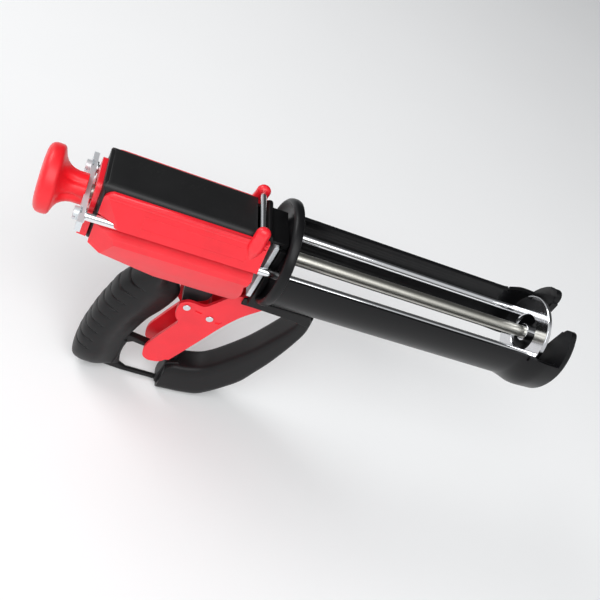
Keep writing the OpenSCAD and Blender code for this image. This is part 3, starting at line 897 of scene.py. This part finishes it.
def make_handle():
    grip = make_grip()
    guard = make_guard()
    low_bar = blank("heel_bar", [(-97, -159), (-88, -163.1), (-66, -166.3), (-31, -167.7), (-31, -164.6),
                                 (-62, -163.2), (-70, -158), (-72, -152), (-90, -150)], -2.2, 2.2)
    top_bar = blank("window_bar", [(-73, -121.5), (-29, -130.8), (-29, -135), (-66, -128),
                                   (-70.5, -131), (-72, -136)], -3.0, 3.0)
    web = blank("window_corner", [(-74, -126), (-70, -128), (-71.6, -140), (-71.8, -152), (-74, -160)],
                -4.5, 4.5)
    heel = blank("guard_corner", rounded([(-38, -165.5), (-38.6, -158), (-37.4, -146), (-37, -138),
                                          (-26, -134), (-26, -165.5)], 2.5), -6.5, 6.5)
    for bar in (low_bar, top_bar, web, heel):
        machine(bar, "BEVEL", width=1.6 * MM, segments=3, limit_method="ANGLE",
                angle_limit=math.radians(40))
    ledge = blank("handle_ledge", [(-11, -46), (-2, -46), (28, -47.5), (44, -50), (43.6, -46),
                                   (40.5, -39),
                                   (-10, -39), (-11, -39.6)], -13, 13)
    machine(ledge, "BEVEL", width=0.8 * MM, segments=3, limit_method="ANGLE",
            angle_limit=math.radians(40))
    cut(grip, guard, low_bar, top_bar, web, heel, ledge, operation="UNION")
    pocket = block("trigger_pocket", (-20, 14), (-11.6, 11.6), (-47.5, -38))
    recess_out = [(28, -49.5), (37.5, -49.5), (30.5, -55)]
    recesses = [blank(f"guard_recess_{s}", recess_out, min(s * 9, s * 14), max(s * 9, s * 14))
                for s in (-1, 1)]
    cut(grip, pocket, *recesses)
    grip.name = "d_handle_moulding"
    return smooth(grip, 32)


dress(make_handle(), "frame", "black_grip", "d_handle")

# ---------------------------------------------------------------- rods, bar and knob


def make_side_rod(name, side):
    profile = [(-134.4, 0), (-134.4, 1.6), (-134.0, 2), (-131.5, 2), (-131.5, 2.6), (-131.1, 3),
               (203.1, 3), (203.5, 2.6), (203.5, 0)]
    return soften(turned(name, profile, 64, y=SIDE_ROD_Y * side), 0.1, 1, 60)


dress(make_side_rod("near_push_rod", -1), "push_rods", "chromed_rod", "right_rod")
dress(make_side_rod("far_push_rod", 1), "push_rods", "chromed_rod", "left_rod")
centre_profile = [(-131.5, 0), (-131.5, 4.1), (-131.1, 4.5), (204.1, 4.5), (204.5, 4.1), (204.5, 0)]
dress(turned("centre_push_rod", centre_profile, 72), "push_rods", "ground_steel", "central_rod")
smooth(bpy.data.objects["centre_push_rod"], 40)


def make_cross_bar():
    bar = block("rod_cross_bar", (-135.0, -131.5), (-34.4, 34.4), (-4, 4))
    notches = [block(f"bar_notch_{s}", (-136, -133.4), sorted((s * 20.2, s * 26.2)), (1.4, 6))
               for s in (-1, 1)]
    bore = [(-140, 0), (-140, 2.05), (-120, 2.05), (-120, 0)]
    holes = [turned(f"bar_hole_{s}", bore, 32, y=SIDE_ROD_Y * s) for s in (-1, 1)]
    cut(bar, *notches, *holes)
    return soften(bar, 0.4, 3, 34)


dress(make_cross_bar(), "push_rods", "zinc_steel", "cross_bar")


def make_knob():
    profile = [(-134.5, 0), (-134.5, 9.9), (-135.0, 10.3), (-141, 10.4), (-144, 11.0), (-146.5, 12.2),
               (-148.6, 14.0), (-150.2, 16.4), (-151.2, 19.0), (-151.8, 20.8), (-152.6, 21.9),
               (-153.8, 22.4), (-156, 22.5), (-158, 22.4), (-159.6, 21.8), (-160.9, 20.6),
               (-161.8, 18.8), (-162.4, 16), (-162.75, 12), (-162.93, 7), (-163, 0)]
    knob = turned("pull_knob_moulding", profile, 144)
    for vertex in knob.data.vertices:
        x, y, z = vertex.co / MM
        radius = math.hypot(y, z)
        if x < -151.5 or x > -134.8 or radius < 5:
            continue
        angle = math.atan2(z, y)
        flute = (0.5 + 0.5 * math.cos(6 * angle)) ** 3
        depth = 2.1 * flute * ramp(x, -151.4, -147.5) * (1 - ramp(x, -139.5, -135.5))
        vertex.co.y *= (radius - depth) / radius
        vertex.co.z *= (radius - depth) / radius
    return smooth(knob, 50)


dress(make_knob(), "push_rods", "red_knob", "pull_knob")


def make_cap_screws():
    screws = cast_from("rod_screws", "rod_end_screws")
    return soften(screws, 0.35, 3, 50)


dress(make_cap_screws(), "push_rods", "zinc_steel", "rod_screws")


def make_rod_clips():
    clips = cast_from("rod_clips", "rod_spring_clips")
    cut(clips, *[block(f"clip_gap_{s}", (-133, -129), sorted((s * 22, s * 24)), (-6, -2.6))
                 for s in (-1, 1)])
    return soften(clips, 0.2, 2, 50)


dress(make_rod_clips(), "push_rods", "bright_steel", "rod_clips")


def make_outer_piston():
    profile = [(203.5, 15.0), (203.5, 28.4), (203.9, 28.9), (204.3, 29.0), (206.3, 29.0), (206.7, 28.7),
               (206.9, 28.2), (206.9, 15.1), (206.4, 14.5), (204.1, 14.5)]
    return smooth(turned("outer_piston_disc", profile, 160), 30)


dress(make_outer_piston(), "push_rods", "chromed_piston", "outer_piston")


def make_inner_piston():
    profile = [(202.5, 4.5), (202.5, 6.2), (202.9, 6.6), (210.8, 6.6), (211.5, 5.9), (211.5, 2.2),
               (204.6, 2.2), (204.6, 4.5)]
    return smooth(turned("inner_piston_plug", profile, 96), 30)


dress(make_inner_piston(), "push_rods", "chromed_piston", "inner_piston")
dress(soften(cast_from("piston_nut", "piston_lock_nut"), 0.25, 2, 40), "push_rods", "zinc_steel",
      "piston_nut")

# ---------------------------------------------------------------- drive


def make_trigger():
    front = [(p.x, p.y) for p in curve_through(
        [(6, -48), (-5, -61), (-14, -77), (-22, -95), (-30, -113), (-37, -128)], 22)]
    rest = [(-42, -133), (-52, -134.5), (-57, -131), (-58.5, -124), (-58, -117), (-51, -99), (-44, -83),
            (-49, -78), (-50, -70), (-50, -64), (-45, -60), (-40, -60), (-32, -61.5), (-19, -43.5),
            (-14, -40.5), (-1, -39.4), (3, -42)]
    outline = front + rounded(rest, 4.5)
    web = front + [(x - 3.3, z) for x, z in reversed(front)]
    trigger = blank("trigger_channel", outline, -11, -8.5)
    boss = pin("trigger_boss", TRIGGER_PIVOT, -10.9, 10.9, 3.6, 0.2)
    cut(trigger, blank("far_cheek", outline, 8.5, 11), blank("channel_front", web, -10.98, 10.98), boss,
        operation="UNION")
    holes = [turned_y("pivot_hole", TRIGGER_PIVOT, -20, 20, 2.05)]
    holes += [turned_y(f"rivet_hole_{i}", at, -20, 20, 1.6) for i, at in enumerate(RIVETS)]
    for side in (-1, 1):
        faces = sorted((side * 10.3, side * 14))
        holes.append(blank(f"slot_high_{side}", [(-37, -66.2), (-31.5, -67.4), (-31.9, -69.0),
                                                 (-37.4, -67.8)], *faces))
        holes.append(blank(f"slot_low_{side}", [(-20.6, -72.0), (-15.2, -71.8), (-16.4, -74.4),
                                                (-19.8, -74.6)], *faces))
    cut(trigger, *holes)
    return soften(trigger, 0.8, 4, 34, 34)


dress(make_trigger(), "trigger", "red_trigger", "trigger")
dress(soften(cast_from("link_pins", "trigger_rivets"), 0.5, 3, 50), "trigger", "bright_steel",
      "link_pins")


def make_drive_link():
    body = [(-48.2, -65), (-47.4, -69.4), (-44, -70.4), (-40.4, -68.6), (-38.6, -64.5), (-31, -60),
            (-29.5, -52), (-33, -44), (-41, -38), (-46.2, -32), (-50, -30), (-53.8, -32), (-54, -36)]
    link = blank("trigger_link", rounded(body, 3), -5, 5)
    cut(link, turned_y("link_hole_low", RIVETS[0], -9, 9, 1.65),
        turned_y("link_hole_high", CRANK, -9, 9, 2.8))
    return soften(link, 0.7, 3, 40)


dress(make_drive_link(), "drive_link", "dark_link", "drive_link")
dress(soften(cast_from("drive_lever", "bell_crank"), 0.6, 3, 40), "drive_lever", "dark_link",
      "drive_lever")
dress(soften(cast_from("drive_plates", "rod_grip_plates"), 0.3, 2, 40), "drive_plates", "hard_steel",
      "drive_plates")
dress(soften(cast_from("brake_plate", "release_plate"), 0.4, 3, 40), "brake_plate", "zinc_steel",
      "brake_plate")
dress(soften(cast_from("cover_screws", "side_cover_screws"), 0.2, 2, 50), "frame", "zinc_steel",
      "cover_screws")

CAD_FINISH = {"chassis": "black_frame", "lever_pin": "bright_steel", "rear_bush": "bronze",
              "front_bush": "bronze", "handle_screws": "zinc_steel", "crank_pin": "bright_steel"}
for node, slot in CAD_FINISH.items():
    part = frame["nodes"][node]
    part.data.materials.clear()
    part.data.materials.append(FINISH[slot])

for node, name, joint, fixed_end, kept_length in (
        ("return_spring", "plate_return_spring", "plates_slide", -0.0197, 0.4),
        ("brake_spring", "brake_plate_spring", "brake_tip", -0.0163, 0.34)):
    spring = dress(cast_from(node, name), "frame", "spring_steel", node)
    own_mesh(spring)

# ---------------------------------------------------------------- studio


FLOOR_GAP = 0.0002
ROOM_GLOW = 0.62
DARK_WALL_GLOW = 0.07
DARK_WALL_TOWARDS = (0.45, 0.7, 0.55)
SENSOR_WIDTH = 36
LENS = 46.31
CAMERA_PLACE = (-0.153549, -0.381647, 0.329239)
CAMERA_TURN = (43.611, -25.455, -1.572)


def make_floor():
    put_down()
    bpy.ops.mesh.primitive_plane_add(size=12, location=(0, 0, cad_low.z - FLOOR_GAP))
    floor = bpy.context.object
    floor.name = "studio_floor"
    finish, tree, shader = new_finish("pale_paper")
    grain = use(tree, GRAIN, Fineness=300.0, Waviness=4.0)
    tree.links.new(mix_colour(tree, grain.outputs["Cloud"], (0.92, 0.922, 0.925), (0.95, 0.952, 0.955)),
                   shader.inputs["Base Color"])
    shader.inputs["Roughness"].default_value = 0.75
    shader.inputs["Specular IOR Level"].default_value = 0.2
    floor.data.materials.append(finish)


def add_light(name, place, aim, size, power):
    data = bpy.data.lights.new(name, "AREA")
    data.shape = "RECTANGLE"
    data.size, data.size_y = size
    data.energy = power
    lamp = bpy.data.objects.new(name, data)
    bpy.context.scene.collection.objects.link(lamp)
    lamp.location = place
    lamp.rotation_mode = "QUATERNION"
    lamp.rotation_quaternion = (Vector(aim) - Vector(place)).to_track_quat("-Z", "Y")


def light_studio():
    """A pale room with a dark far wall, a large softbox above the near side and a weaker one behind."""
    world = bpy.data.worlds.new("studio_room")
    bpy.context.scene.world = world
    world.use_nodes = True
    tree = world.node_tree
    sky = tree.nodes["Background"]
    direction = tree.nodes.new("ShaderNodeTexCoord").outputs["Generated"]
    wall = tree.nodes.new("ShaderNodeVectorMath")
    wall.operation = "DOT_PRODUCT"
    wall.inputs[1].default_value = Vector(DARK_WALL_TOWARDS).normalized()
    tree.links.new(direction, wall.inputs[0])
    fall = tree.nodes.new("ShaderNodeMapRange")
    fall.interpolation_type = "SMOOTHSTEP"
    tree.links.new(wall.outputs["Value"], fall.inputs["Value"])
    for label, value in (("From Min", 0.45), ("From Max", 0.86), ("To Min", ROOM_GLOW),
                         ("To Max", DARK_WALL_GLOW)):
        fall.inputs[label].default_value = value
    tree.links.new(fall.outputs["Result"], sky.inputs["Strength"])
    sky.inputs["Color"].default_value = (0.97, 0.985, 1.0, 1)
    middle = (0.03, 0.0, -0.05)
    add_light("near_softbox", (-0.25, -1.22, 1.55), middle, (2.4, 1.3), 28.0)
    add_light("rear_softbox", (-1.2, 0.75, 1.3), middle, (1.0, 0.9), 12.0)


def set_camera():
    data = bpy.data.cameras.new("camera")
    data.sensor_width = SENSOR_WIDTH
    data.lens = LENS
    data.clip_start, data.clip_end = 0.01, 50
    camera = bpy.data.objects.new("camera", data)
    bpy.context.scene.collection.objects.link(camera)
    camera.location = CAMERA_PLACE
    camera.rotation_euler = [math.radians(angle) for angle in CAMERA_TURN]
    bpy.context.scene.camera = camera


make_floor()
light_studio()
set_camera()
bpy.context.scene.view_settings.view_transform = "Standard"

put_down()
